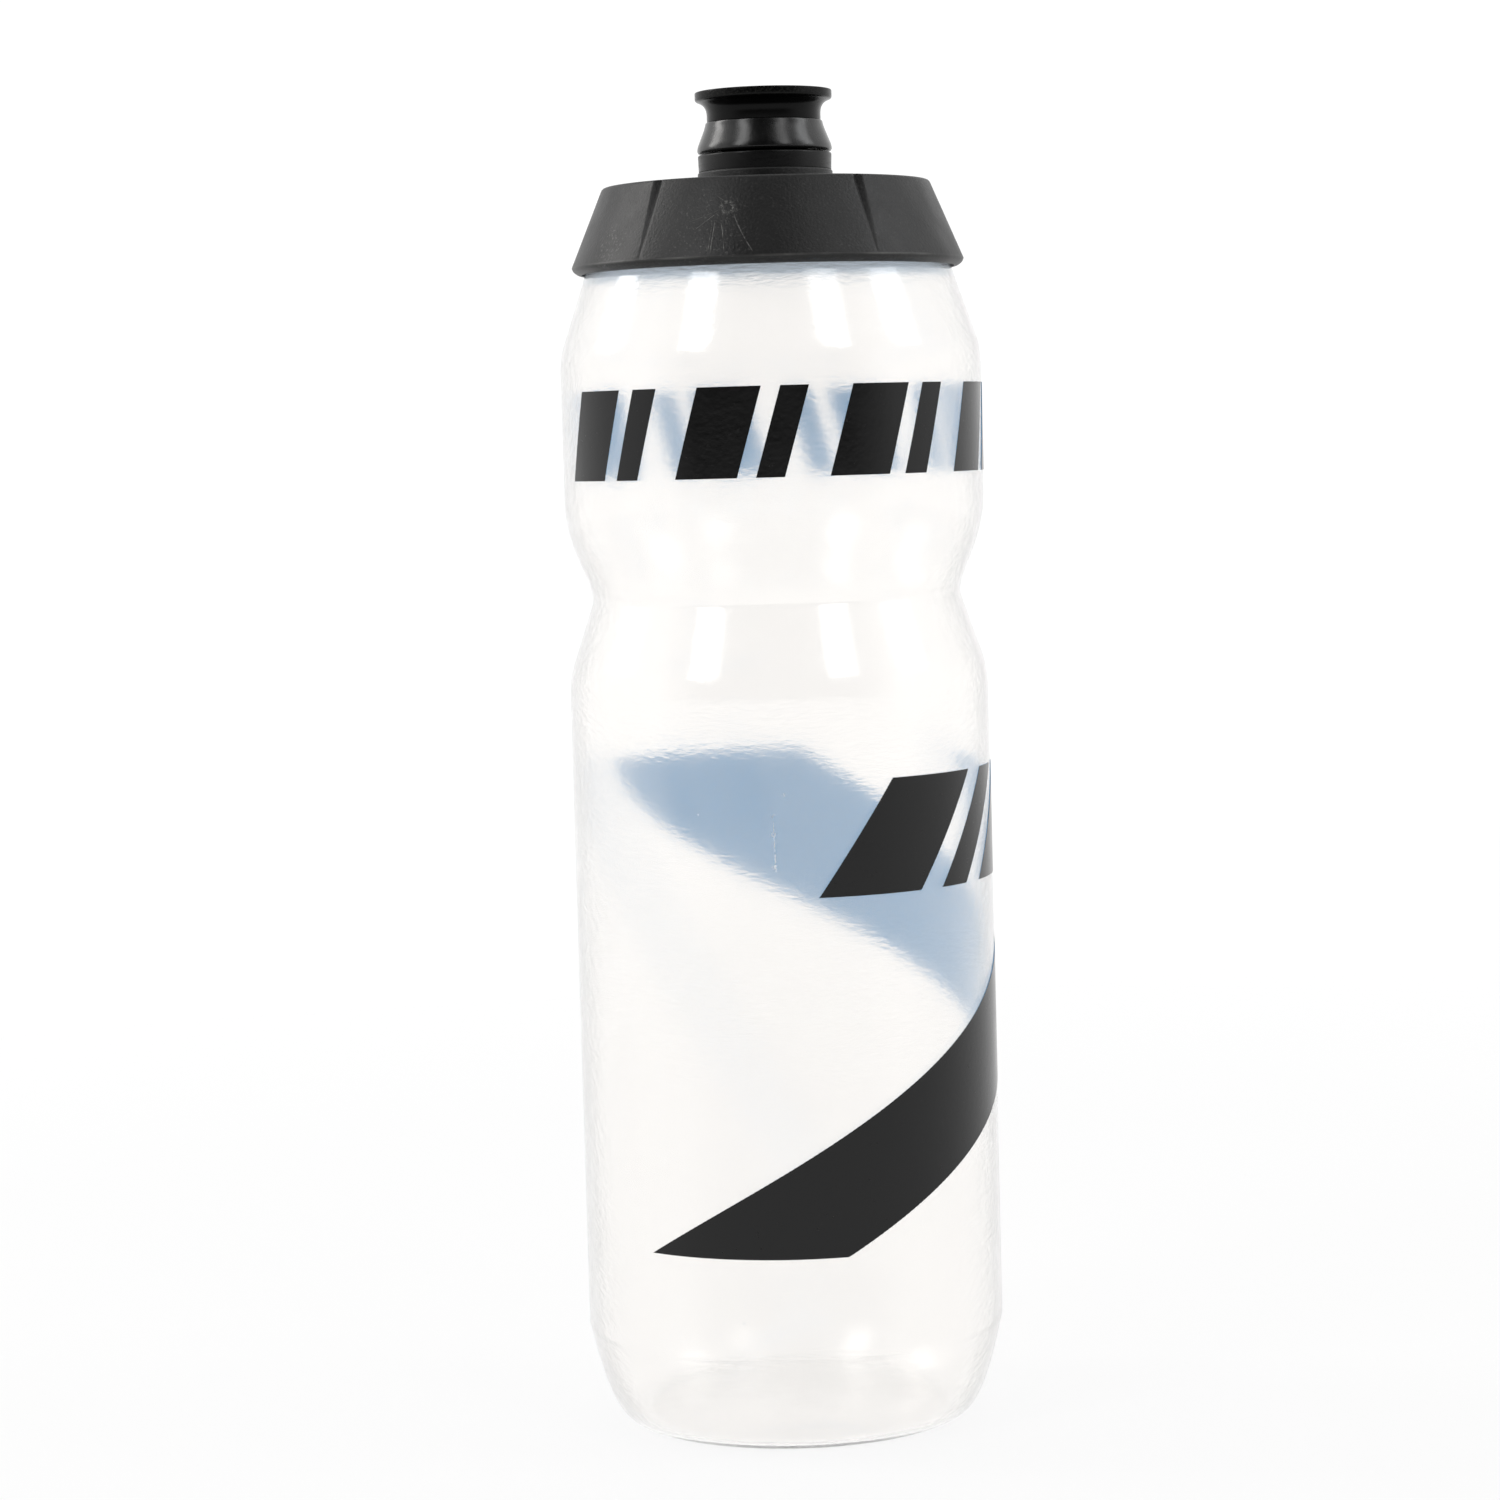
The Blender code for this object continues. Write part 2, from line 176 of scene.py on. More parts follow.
# The print: ink a little proud of the wall, in shapes of no meaning.
BAND_LOW_Z = 166.8
BAND_HIGH_Z = 182.1
BAND_START_DEG = -68.0
BAND_CELLS = 8
BAND_PITCH_DEG = 41.5
BAND_LEAN_DEG = 0.45
BAND_BARS_DEG = ((0.0, 17.0), (22.0, 7.5))
SLASH_LOW_Z = 34.5
SLASH_HIGH_Z = 115.6
SLASH_RISE_DEG = 2.66
SLASH_WIDTH_DEG = 55.5
SLASH_DEG = -41.0
SLASH_FLARE_DEG = 8.0
SLASH_SWELL_DEG = 160.0
SIDE_LOW_Z = 96.0
SIDE_DEG = 9.0
SIDE_LEAN_DEG = 1.1
SIDE_BARS_DEG = ((0.0, 30.0), (38.0, 11.0), (57.0, 30.0))
TOOTH_MM = 0.5
TOOTH_DEG = 0.16
PLAIN_ROW_MM = 1.5
INK_COLUMN_DEG = 2.0

# How finely things are cut: columns round each turned piece, and the sharpest edge that is smoothed.
BODY_ROUND = 256
CAP_ROUND = 300
VALVE_ROUND = 192
RING_ROUND = 128
CORE_ROUND = 96
TUBE_ROUND = 20
FINE_STEP = 0.25
SMOOTH_DEG = 40
INK_SMOOTH_DEG = 30


def bezier(start, out_of_start, into_end, end, steps=20):
    """Points (r, z) along one Bezier stretch, both ends included."""
    corners = [Vector((r, z, 0)) for r, z in (start, out_of_start, into_end, end)]
    return [(p.x, p.y) for p in interpolate_bezier(*corners, steps)]


def rounded(corners, closed=True, steps=4):
    """An outline whose corners (r, z, fillet) are rounded. A corner with no fillet is kept as it is."""
    outline = []
    count = len(corners)
    for i, corner in enumerate(corners):
        here = Vector(corner[:2])
        fillet = corner[2] if len(corner) > 2 else 0
        if not fillet or (not closed and i in (0, count - 1)):
            outline.append(tuple(here))
            continue
        before = Vector(corners[i - 1][:2]) - here
        after = Vector(corners[(i + 1) % count][:2]) - here
        start = here + before.normalized() * min(fillet, before.length * 0.48)
        end = here + after.normalized() * min(fillet, after.length * 0.48)
        for step in range(steps + 1):
            t = step / steps
            point = start * (1 - t) ** 2 + here * 2 * t * (1 - t) + end * t**2
            outline.append(tuple(point))
    return outline


def filled(outline, step, low, high):
    """The outline with points added where a stretch between these heights is longer than step."""
    points = [outline[0]]
    for (r0, z0), (r1, z1) in zip(outline, outline[1:]):
        inside = low <= min(z0, z1) and max(z0, z1) <= high
        pieces = max(1, math.ceil(math.hypot(r1 - r0, z1 - z0) / step)) if inside else 1
        for i in range(1, pieces + 1):
            t = i / pieces
            points.append((r0 + (r1 - r0) * t, z0 + (z1 - z0) * t))
    return points


def inset(outline, depth):
    """The outline moved sideways by depth, to the left of its direction of travel."""
    points = [Vector(p) for p in outline]
    moved = []
    for i, point in enumerate(points):
        before = (point - points[i - 1]).normalized() if i else None
        after = (points[i + 1] - point).normalized() if i + 1 < len(points) else None
        before, after = before or after, after or before
        side = Vector((-before.y - after.y, before.x + after.x)).normalized()
        spread = side.dot(Vector((-before.y, before.x)))
        moved.append(tuple(point + side * depth / max(spread, 0.5)))
    return moved


def even_turn(count):
    return [360.0 * i / count for i in range(count)]


def degrees_apart(angle, other):
    """The signed turn from other to angle, from -180 to 180."""
    return (angle - other + 180) % 360 - 180


def linked_object(name, data):
    """An object of the scene that shows this mesh, light or camera."""
    made = bpy.data.objects.new(name, data)
    bpy.context.scene.collection.objects.link(made)
    return made


def lathe(name, outline, angles, closed=True, shape=None):
    """A mesh turned about Z. shape(r, z, angle) may move a point, for a thread or a groove."""
    points, faces, rings = [], [], []
    for r, z in outline:
        if r < 1e-6:
            rings.append([len(points)] * len(angles))
            points.append((0.0, 0.0, z * MM))
            continue
        rings.append(list(range(len(points), len(points) + len(angles))))
        for angle in angles:
            moved_r, moved_angle = shape(r, z, angle) if shape else (r, angle)
            a = math.radians(moved_angle)
            points.append((moved_r * math.sin(a) * MM, -moved_r * math.cos(a) * MM, z * MM))
    pairs = list(zip(rings, rings[1:]))
    if closed:
        pairs.append((rings[-1], rings[0]))
    for upper, lower in pairs:
        for i in range(len(angles)):
            j = (i + 1) % len(angles)
            face = list(dict.fromkeys((upper[i], lower[i], lower[j], upper[j])))
            if len(face) > 2:
                faces.append(face)
    mesh = bpy.data.meshes.new(name)
    mesh.from_pydata(points, [], faces)
    mesh.validate()
    mesh.shade_smooth()
    mesh.set_sharp_from_angle(angle=math.radians(SMOOTH_DEG))
    return linked_object(name, mesh)


def thread(z, angle, base_z, turns):
    """How far a thread ridge stands out at this height and angle, from 0 to 1."""
    first, last = turns
    # The helix starts at +X and climbs anticlockwise seen from above, which is towards growing angles.
    turn = ((angle - 90.0) / 360.0) % 1.0
    best = 0.0
    for whole in range(-1, 3):
        along = turn + whole
        if first <= along <= last:
            from_end = min(along - first, last - along)
            ends = min(1.0, RUN_OUT_START + (1 - RUN_OUT_START) * from_end / RUN_OUT_TURNS)
            off = abs(z - base_z - THREAD_PITCH * along) / THREAD_HEIGHT
            if off < 1:
                best = max(best, ends * math.sqrt(1 - off * off))
    return best


# ---------------------------------------------------------------- pieces


def body_outline():
    waist = bezier(
        (BODY_R, WAIST_TOP_Z),
        (BODY_R - 0.4, WAIST_TOP_Z - 9.0),
        (WAIST_R + 0.1, WAIST_Z + 4.7),
        (WAIST_R, WAIST_Z + 0.25),
    )
    shoulder = bezier(
        (SHOULDER_R, SHOULDER_CONE_Z),
        (SHOULDER_R + 0.5, SHOULDER_CONE_Z - 1.7),
        (BODY_R, SHOULDER_Z + 2.0),
        (BODY_R, SHOULDER_Z),
        12,
    )
    base = bezier(
        (BODY_R, BASE_CREASE_Z),
        (BODY_R - 1.6, BASE_CREASE_Z - 7.0),
        (BASE_RING_R + 3.4, 0.6),
        (BASE_RING_R, 0.0),
        24,
    )
    push_up = bezier((BASE_RING_IN_R, 0.0), (22.0, 3.2), (12.0, PUSH_UP_Z), (0.0, PUSH_UP_Z))
    crease = [(WAIST_R, WAIST_Z), (WAIST_R + 0.1, WAIST_Z - 0.3)]
    low_bend = rounded(
        [(WAIST_R + 0.2, WAIST_Z - 0.55), (BODY_R, WAIST_LOW_Z, 3.0), (BODY_R, BASE_CREASE_Z + 1)],
        closed=False,
        steps=8,
    )[:-1]
    return [(CONE_TOP_R, CONE_TOP_Z), *shoulder, *waist, *crease, *low_bend, *base, *push_up]


def make_body():
    outside = body_outline()
    inside = inset(outside, -WALL)[::-1]
    inside[0] = (0.0, PUSH_UP_Z + WALL)
    neck = [
        (30.4, LEDGE_Z - 1.8, 0.4),
        (NECK_BORE_R + 0.9, LEDGE_Z - 1.2, 0.5),
        (NECK_BORE_R, LEDGE_Z - 0.3, 0.5),
        (NECK_BORE_R, RIM_Z, 0.35),
        (NECK_R, RIM_Z, 0.35),
        (NECK_R, LEDGE_Z + 0.2, 0.5),
        (CONE_TOP_R - 0.6, LEDGE_Z - 0.2, 0.7),
    ]
    neck = rounded([inside[-1], *neck, outside[0]], closed=False)
    outline = inside + filled(neck, FINE_STEP, LEDGE_Z, RIM_Z)[1:-1] + outside

    def threaded(r, z, angle):
        if z < LEDGE_Z + 0.5 or r < NECK_R - 0.1:
            return r, angle
        return r + THREAD_HEIGHT * thread(z, angle, THREAD_Z, NECK_THREAD_TURNS), angle

    return lathe("squeeze_body", outline, even_turn(BODY_ROUND), closed=False, shape=threaded)


def cap_angles():
    """Angles with many columns across each groove and the gate mark, and fewer elsewhere."""
    grooves = [FIRST_GROOVE_DEG + i * 360 / GROOVES for i in range(GROOVES)]
    marks = [(groove_deg, GROOVE_REACH_DEG, GROOVE_COLUMNS) for groove_deg in grooves]
    marks.append((GATE_DEG, GATE_REACH_DEG, GATE_COLUMNS))
    angles = set(even_turn(CAP_ROUND))
    for mark, reach, columns in marks:
        angles -= {angle for angle in angles if abs(degrees_apart(angle, mark)) < reach + 0.2}
        angles |= {(mark + reach * i / columns) % 360 for i in range(-columns, columns + 1)}
    return sorted(angles)


def cone_radius(z):
    return CAP_TOP_R + CAP_SLOPE * (CAP_TOP_Z - z)


def groove(z, angle):
    """The nearest groove's depth here, and the angle moved so that columns follow the groove's edge."""
    pitch = 360 / GROOVES
    off = (angle - FIRST_GROOVE_DEG + pitch / 2) % pitch - pitch / 2
    share = 2 * abs(off) / GROOVE_REACH_DEG
    if share >= 2 or z < CREASE_END_Z:
        return 0.0, angle
    deep = max(0.0, 1 - (CAP_TOP_Z - z) / GROOVE_LENGTH)
    half_width = max(GROOVE_HALF_WIDTH * deep, CREASE_HALF_WIDTH)
    half_deg = math.degrees(half_width / cone_radius(z))
    beyond = max(0.0, share - 1)
    moved = half_deg * min(share, 1) + (GROOVE_REACH_DEG - half_deg) * beyond
    crease = CREASE_DEPTH * min(1.0, (z - CREASE_END_Z) / CREASE_FADE)
    depth = max(GROOVE_DEPTH * deep, crease) * max(0.0, 1 - share)
    return depth, angle - off + math.copysign(moved, off)


def gate_swell(r, z, angle):
    """How far the gate mark moves the surface out (+) or in (-): its dimple, its rim or neither."""
    sideways = math.radians(degrees_apart(angle, GATE_DEG)) * r * GATE_NARROWING
    from_gate = math.hypot(sideways, z - GATE_Z) / GATE_R
    if from_gate < 1:
        return -GATE_DEPTH * (1 - from_gate**2)
    if from_gate < 1 + GATE_RIM_WIDTH:
        return GATE_RIM_HEIGHT * math.sin(math.pi * (from_gate - 1) / GATE_RIM_WIDTH)
    return 0.0


def cap_surface(r, z, angle):
    """The grooves and the gate mark on the outside, and the thread in the bore."""
    in_bore = abs(r - CAP_BORE_R) < 0.05 and CAP_COLLAR_Z + 0.4 < z < CAP_CEILING_Z - 0.4
    if in_bore:
        ridge = thread(z, angle, THREAD_Z - THREAD_PITCH / 2, CAP_THREAD_TURNS)
        return r - THREAD_HEIGHT * ridge, angle
    if z < CAP_RIM_Z + 0.1 or r < cone_radius(z) - CAP_SKIN or r < STUB_R + 2:
        return r, angle
    swell = gate_swell(r, z, angle)
    if swell:
        return r + swell, angle
    depth, moved = groove(z, angle)
    return min(r, cone_radius(z) - depth), moved


def make_cap():
    seal_r = STUB_R - 0.6
    recess_top = CAP_CEILING_Z - 2.7
    recess_r = cone_radius(recess_top) - CAP_WALL
    corners = [
        (seal_r, STUB_TOP_Z, 0.1),
        (STUB_R - 0.28, STUB_TOP_Z),
        (STUB_R, STUB_TOP_Z - 0.32, 0.05),
        (STUB_R, CAP_TOP_Z + 0.5, 0.3),
        (STUB_R + 0.4, CAP_TOP_Z, 0.2),
        (CAP_TOP_R - 1.6, CAP_TOP_Z),
        (CAP_TOP_R, CAP_TOP_Z, 0.55),
        (cone_radius(CAP_RIM_Z + 0.8), CAP_RIM_Z + 0.8),
        (CAP_RIM_R, CAP_RIM_Z, 0.1),
        (CAP_RIM_R - 0.25, CAP_RIM_Z - 0.65, 0.5),
        (CAP_RIM_R - 1.15, CAP_FOOT_Z, 0.5),
        (CAP_RIM_R - CAP_WALL, CAP_FOOT_Z, 0.15),
        (CAP_RIM_R - CAP_WALL, CAP_RIM_Z + 0.2, 0.2),
        (recess_r, recess_top, 0.3),
        (CAP_COLLAR_R, recess_top, 0.3),
        (CAP_COLLAR_R, CAP_COLLAR_Z, 0.25),
        (CAP_BORE_R, CAP_COLLAR_Z, 0.25),
        (CAP_BORE_R, CAP_CEILING_Z, 0.25),
        (STUB_BORE_R, CAP_CEILING_Z, 0.2),
        (STUB_BORE_R, STUB_TOP_Z - 1.5, 0.1),
        (seal_r, STUB_TOP_Z - 1.5, 0.1),
    ]
    outline = filled(rounded(corners), FINE_STEP, CAP_COLLAR_Z, CAP_TOP_Z)
    return lathe("grip_cap", outline, cap_angles(), shape=cap_surface)


def make_housing():
    barb_top = CAP_CEILING_Z - GAP
    foot = STUB_TOP_Z + SEAM
    corners = [
        (STOP_RIB_R, HOUSING_TOP_Z, 0.3),
        (HOUSING_R - 0.1, HOUSING_TOP_Z, 0.35),
        (HOUSING_R - 0.2, foot),
        (SLEEVE_R, foot, 0.1),
        (SLEEVE_R, barb_top, 0.05),
        (SLEEVE_R + 0.9, barb_top - 0.1, 0.15),
        (SLEEVE_R + 0.9, barb_top - 0.6, 0.15),
        (SLEEVE_R, barb_top - 1.8, 0.2),
        (SLEEVE_R, SLEEVE_FOOT_Z, 0.2),
        (SLEEVE_BORE_R, SLEEVE_FOOT_Z, 0.2),
        (SLEEVE_BORE_R, STOP_RIB_Z, 0.1),
        (STOP_RIB_R, STOP_RIB_Z, 0.1),
    ]
    return lathe("valve_collar", rounded(corners), even_turn(VALVE_ROUND))


def make_mouthpiece_base():
    groove_r = STEM_R - SEAL_GROOVE_DEPTH
    corners = [
        (STEM_BORE_R, SPIGOT_TOP_Z, 0.15),
        (SPIGOT_R, SPIGOT_TOP_Z, 0.15),
        (SPIGOT_R, CONE_HEAD_Z, 0.1),
        (CONE_HEAD_R, CONE_HEAD_Z, 0.18),
        (CONE_HEAD_R + 0.22, CONE_HEAD_Z - 1.0, 0.8),
        (CONE_FOOT_R - 0.1, CONE_FOOT_Z + 1.1, 0.5),
        (CONE_FOOT_R, CONE_FOOT_Z + 0.35, 0.2),
        (CONE_FOOT_R - 0.25, CONE_FOOT_Z, 0.12),
        (STEM_R, CONE_FOOT_Z, 0.3),
        (STEM_R, SEAL_GROOVE_HIGH_Z, 0.1),
        (groove_r, SEAL_GROOVE_HIGH_Z, 0.1),
        (groove_r, SEAL_GROOVE_LOW_Z, 0.1),
        (STEM_R, SEAL_GROOVE_LOW_Z, 0.1),
        (STEM_R, STEM_FOOT_Z, 0.3),
        (STEM_BORE_R, STEM_FOOT_Z, 0.2),
    ]
    return lathe("pull_cone", rounded(corners), even_turn(VALVE_ROUND))


def make_bite_tip():
    flare = bezier(
        (LIP_R - 0.3, LIP_TOP_Z - 1.62),
        (LIP_R - 1.5, LIP_TOP_Z - 2.0),
        (TIP_NECK_R, TIP_NECK_Z + 1.3),
        (TIP_NECK_R, TIP_NECK_Z),
        14,
    )
    bore_r = SPIGOT_R + GAP
    corners = [
        (DRINK_HOLE_R, LIP_TOP_Z - 0.35, 0.4),
        (DRINK_HOLE_R + 1.6, LIP_TOP_Z - 0.3, 0.6),
        (LIP_R - 2.2, LIP_TOP_Z - 0.03, 1.0),
        (LIP_R - 0.9, LIP_TOP_Z),
        (LIP_R, LIP_TOP_Z, 0.25),
        (LIP_R, LIP_TOP_Z - 1.4, 0.35),
        *flare,
        (TIP_NECK_R, CONE_HEAD_Z + SEAM, 0.12),
        (bore_r, CONE_HEAD_Z + SEAM, 0.1),
        (bore_r, SPIGOT_TOP_Z + GAP, 0.1),
        (DRINK_HOLE_R, SPIGOT_TOP_Z + GAP, 0.3),
    ]
    return lathe("lip_tip", rounded(corners), even_turn(VALVE_ROUND))


def make_spider_ring(inner, outer):
    top = SPIDER_Z + SPIDER_THICKNESS
    corners = [(inner, top, 0.2), (outer, top, 0.2), (outer, SPIDER_Z, 0.2), (inner, SPIDER_Z, 0.2)]
    return lathe("stopper_core", rounded(corners), even_turn(CORE_ROUND))


def make_pin():
    """The pin, with a shallow dish in its head."""
    head_foot = SPIGOT_TOP_Z + 0.5
    corners = [
        (0, PIN_TOP_Z - 0.12),
        (0.9, PIN_TOP_Z - 0.12, 0.3),
        (1.3, PIN_TOP_Z, 0.3),
        (PIN_HEAD_R, PIN_TOP_Z, 0.45),
        (PIN_HEAD_R, head_foot, 0.3),
        (PIN_R, head_foot - 1.6, 0.6),
        (PIN_R, SPIDER_Z, 0.2),
        (0, SPIDER_Z),
    ]
    outline = rounded(corners, closed=False)
    return lathe("stopper_part", outline, even_turn(CORE_ROUND), closed=False)


def add_spoke(shape, inner, outer, turn):
    """Adds one bevelled bar. With no turn it lies along +X, as the frame's first spoke does."""
    place = Matrix.Translation(((inner + outer) / 2, 0, SPIDER_Z + SPIDER_THICKNESS / 2))
    size = Matrix.Diagonal((outer - inner, SPOKE_WIDTH, SPOKE_WIDTH, 1))
    matrix = Matrix.Scale(MM, 4) @ Matrix.Rotation(turn, 4, "Z") @ place @ size
    made = bmesh.ops.create_cube(shape, size=1, matrix=matrix)
    edges = list({edge for corner in made["verts"] for edge in corner.link_edges})
    bmesh.ops.bevel(shape, geom=edges, offset=SPOKE_BEVEL * MM, segments=2, affect="EDGES")


def make_core():
    """The stopper pin, its ring and its three spokes, joined as one piece."""
    ring_in_r = STEM_BORE_R + 0.4
    core = make_spider_ring(ring_in_r, SLEEVE_BORE_R - GAP)
    pin = make_pin()
    shape = bmesh.new()
    shape.from_mesh(core.data)
    shape.from_mesh(pin.data)
    for i in range(SPOKES):
        add_spoke(shape, PIN_R - 0.4, ring_in_r + 0.7, i * math.tau / SPOKES)
    shape.to_mesh(core.data)
    shape.free()
    bpy.data.objects.remove(pin)
    return core


def make_gasket():
    low, high = foot_of("cap_gasket"), top_of("cap_gasket")
    inner, outer = NECK_BORE_R - 0.1, radius_of("cap_gasket")
    corners = [(inner, high, 0.3), (outer, high, 0.3), (outer, low, 0.3), (inner, low, 0.3)]
    return lathe("rim_gasket", rounded(corners), even_turn(VALVE_ROUND))


def make_housing_seal():
    """An O-ring, as thick as its node is high."""
    low, high = foot_of("housing_seal"), top_of("housing_seal")
    cord_r = (high - low) / 2
    middle_r = radius_of("housing_seal") - cord_r
    turns = [math.tau * i / TUBE_ROUND for i in range(TUBE_ROUND)]
    outline = [(middle_r + cord_r * math.sin(t), low + cord_r * (1 + math.cos(t))) for t in turns]
    return lathe("collar_ring", outline, even_turn(RING_ROUND))


def make_stem_seal():
    """A ring with a lip half way up its outside."""
    low, high = foot_of("stem_seal"), top_of("stem_seal")
    inner, outer = STEM_R - SEAL_GROOVE_DEPTH + GAP, radius_of("stem_seal")
    corners = [
        (inner, high, 0.15),
        (outer - 0.1, high, 0.1),
        (outer, (low + high) / 2, 0.25),
        (outer - 0.1, low, 0.1),
        (inner, low, 0.15),
    ]
    return lathe("stem_ring", rounded(corners), even_turn(RING_ROUND))


def tooth(z):
    """The saw edge that a printing screen leaves on a slanted line, in degrees, at a height."""
    return TOOTH_DEG * ((z / TOOTH_MM) % 1.0 - 0.5)


def ink_points(low_z, high_z, left, right, rows, columns, toothed):
    """The points of one printed shape, row by row: first its outside, then its underside."""
    points = []
    for r in (BODY_R + INK_GAP + INK_THICKNESS, BODY_R + INK_GAP):
        for row in range(rows):
            z = low_z + (high_z - low_z) * row / (rows - 1)
            nudge = tooth(z) if toothed else 0.0
            for column in range(columns):
                t = column / (columns - 1)
                a = math.radians(left(z) * (1 - t) + right(z) * t + nudge)
                points.append((r * math.sin(a) * MM, -r * math.cos(a) * MM, z * MM))
    return points


def add_ink(points, faces, backs, low_z, high_z, left, right, toothed):
    """Adds one printed shape: left(z) and right(z) are its sides' angles at a height."""
    step = TOOTH_MM / 4 if toothed else PLAIN_ROW_MM
    rows = max(2, round((high_z - low_z) / step)) + 1
    columns = max(3, round((right(low_z) - left(low_z)) / INK_COLUMN_DEG)) + 1
    first = len(points)
    points += ink_points(low_z, high_z, left, right, rows, columns, toothed)

    def at(side, row, column):
        return first + (side * rows + row) * columns + column

    for row in range(rows - 1):
        for column in range(columns - 1):
            corners = [(row, column), (row, column + 1), (row + 1, column + 1), (row + 1, column)]
            faces.append([at(0, *corner) for corner in corners])
            backs.append(len(faces))
            faces.append([at(1, *corner) for corner in reversed(corners)])
    edges = []
    for row in range(rows - 1):
        edges += [((row, column), (row + 1, column)) for column in (0, columns - 1)]
    for column in range(columns - 1):
        edges += [((row, column), (row, column + 1)) for row in (0, rows - 1)]
    for start, end in edges:
        faces.append([at(0, *start), at(0, *end), at(1, *end), at(1, *start)])


def ink_piece(name, shapes, toothed):
    """One object from shapes (low_z, high_z, left, right), whose underside has a material of its own."""
    points, faces, backs = [], [], []
    for low_z, high_z, left, right in shapes:
        add_ink(points, faces, backs, low_z, high_z, left, right, toothed)
    mesh = bpy.data.meshes.new(name)
    mesh.from_pydata(points, [], faces)
    for index in backs:
        mesh.polygons[index].material_index = 1
    shape = bmesh.new()
    shape.from_mesh(mesh)
    bmesh.ops.recalc_face_normals(shape, faces=shape.faces)
    shape.to_mesh(mesh)
    shape.free()
    mesh.shade_smooth()
    mesh.set_sharp_from_angle(angle=math.radians(INK_SMOOTH_DEG))
    return linked_object(name, mesh)


def slanted(start_deg, low_z, rise_deg):
    """A side that leans: a function from a height to an angle."""
    return lambda z: start_deg + rise_deg * (z - low_z)


def slanted_bars(low_z, high_z, first_deg, lean_deg, bars_deg):
    """Bars side by side, each an offset and a width in degrees, all leaning as they rise."""
    shapes = []
    for offset, width in bars_deg:
        left = slanted(first_deg + offset, low_z, lean_deg)
        right = slanted(first_deg + offset + width, low_z, lean_deg)
        shapes.append((low_z, high_z, left, right))
    return shapes


def slash_right(z):
    """The slash's right side: it flares and swells a little on the way round the back."""
    t = (z - SLASH_LOW_Z) / (SLASH_HIGH_Z - SLASH_LOW_Z)
    straight = slanted(SLASH_DEG + SLASH_WIDTH_DEG, SLASH_LOW_Z, SLASH_RISE_DEG)(z)
    return straight + SLASH_FLARE_DEG * t + SLASH_SWELL_DEG * t**3 * (1 - t)


def make_prints():
    """Slanted bars round the upper body, and a long slash and more bars on the lower one."""
    band = []
    for cell in range(BAND_CELLS):
        first = BAND_START_DEG + cell * BAND_PITCH_DEG
        band += slanted_bars(BAND_LOW_Z, BAND_HIGH_Z, first, BAND_LEAN_DEG, BAND_BARS_DEG)
    slash = [(SLASH_LOW_Z, SLASH_HIGH_Z, slanted(SLASH_DEG, SLASH_LOW_Z, SLASH_RISE_DEG), slash_right)]
    side = slanted_bars(SIDE_LOW_Z, SLASH_HIGH_Z, SIDE_DEG, SIDE_LEAN_DEG, SIDE_BARS_DEG)
    return [
        ink_piece("band_bars", band, toothed=False),
        ink_piece("long_slash", slash, toothed=True),
        ink_piece("side_bars", side, toothed=True),
    ]


# ---------------------------------------------------------------- materials

# Scratches on the cap: the angle and the height of each end, and how it bends.
SCRATCHES = (
    (-14.0, 209.6, -12.1, 204.0, 0.6),
    (-15.7, 209.8, -16.3, 204.3, 1.0),
    (-16.6, 208.6, -17.0, 204.8, 1.0),
    (-9.9, 211.0, -3.8, 204.2, 1.2),
    (-12.9, 213.2, -16.5, 214.4, 0.8),
    (-14.5, 211.8, -25.5, 209.6, 1.2),
    (-15.2, 211.2, -22.0, 208.4, 1.0),
)
SCRATCH_HALF_DEG = 0.2
# Two scuffed places on the cap: an angle, a radius and a height, and how far each one reaches. A
# third is round the gate mark.
SCUFF_BY_GATE = (GATE_DEG - 5, 32, GATE_Z - 4)
SCUFF_BY_GATE_REACH = 9
SCUFF_ON_LEFT = (-54, 33.4, 206.4)
SCUFF_ON_LEFT_REACH = 5
SCUFF_ROUND_GATE_REACH = 2.0
# One scratch in the wall, in the same form as the cap's.
WALL_SCRATCH = (-2.6, 109.5, -2.1, 100.0, 1.0)
# Nicks in the wall and specks of dust on it: an angle, a height and a size.
NICKS = (
    (-2.4, 110.0, 0.4),
    (-2.5, 107.0, 0.5),
    (-2.7, 101.4, 0.4),
    (0.6, 113.6, 0.3),
    (-23.0, 110.5, 0.35),
)
SPECKS = ((-14.0, 23.5, 0.35), (-38.0, 15.5, 0.3), (29.0, 58.0, 0.3))
# Above UNDER_CAP_Z the wall's colour is a painted shade of the cap. The painted shade's edge is soft and
# ragged. Dust specks are painted in the same grey.
UNDER_CAP_Z = 200.9
UNDER_CAP_FADE = 0.9
UNDER_CAP_RAGGED = 1.6
LIT_COLOUR = (1.0, 0.987, 0.972)
PAINTED_SHADE_AND_SPECK_COLOUR = (0.66, 0.71, 0.76)
# Painted glow in place of the light that milky plastic scatters inside its wall: white for the most part,
# and blue in front of black.
PAINTED_GLOW_WHITE = (0.97, 0.985, 1.0)
PAINTED_GLOW_STRENGTH = 0.029
PAINTED_GLOW_BLUE = (0.01, 0.26, 0.56)


class Nodes:
    """A node tree, and short ways of adding to it."""

    def __init__(self, tree, place):
        self.tree = tree
        self.place = self.add("ShaderNodeTexCoord").outputs[place]

    def add(self, kind):
        return self.tree.nodes.new(kind)

    def link(self, source, target):
        self.tree.links.new(source, target)

    def spread(self, source, low, high, out_low, out_high):
        """Maps low..high to out_low..out_high, and holds the ends beyond them."""
        node = self.add("ShaderNodeMapRange")
        for socket, value in zip(node.inputs[1:5], (low, high, out_low, out_high)):
            socket.default_value = value
        self.link(source, node.inputs[0])
        return node.outputs[0]

    def maths(self, operation, a, b=0):
        """One sum. Each side is a number or another node's output."""
        node = self.add("ShaderNodeMath")
        node.operation = operation
        for socket, value in zip(node.inputs, (a, b)):
            if isinstance(value, (int, float)):
                socket.default_value = value
            else:
                self.link(value, socket)
        return node.outputs[0]


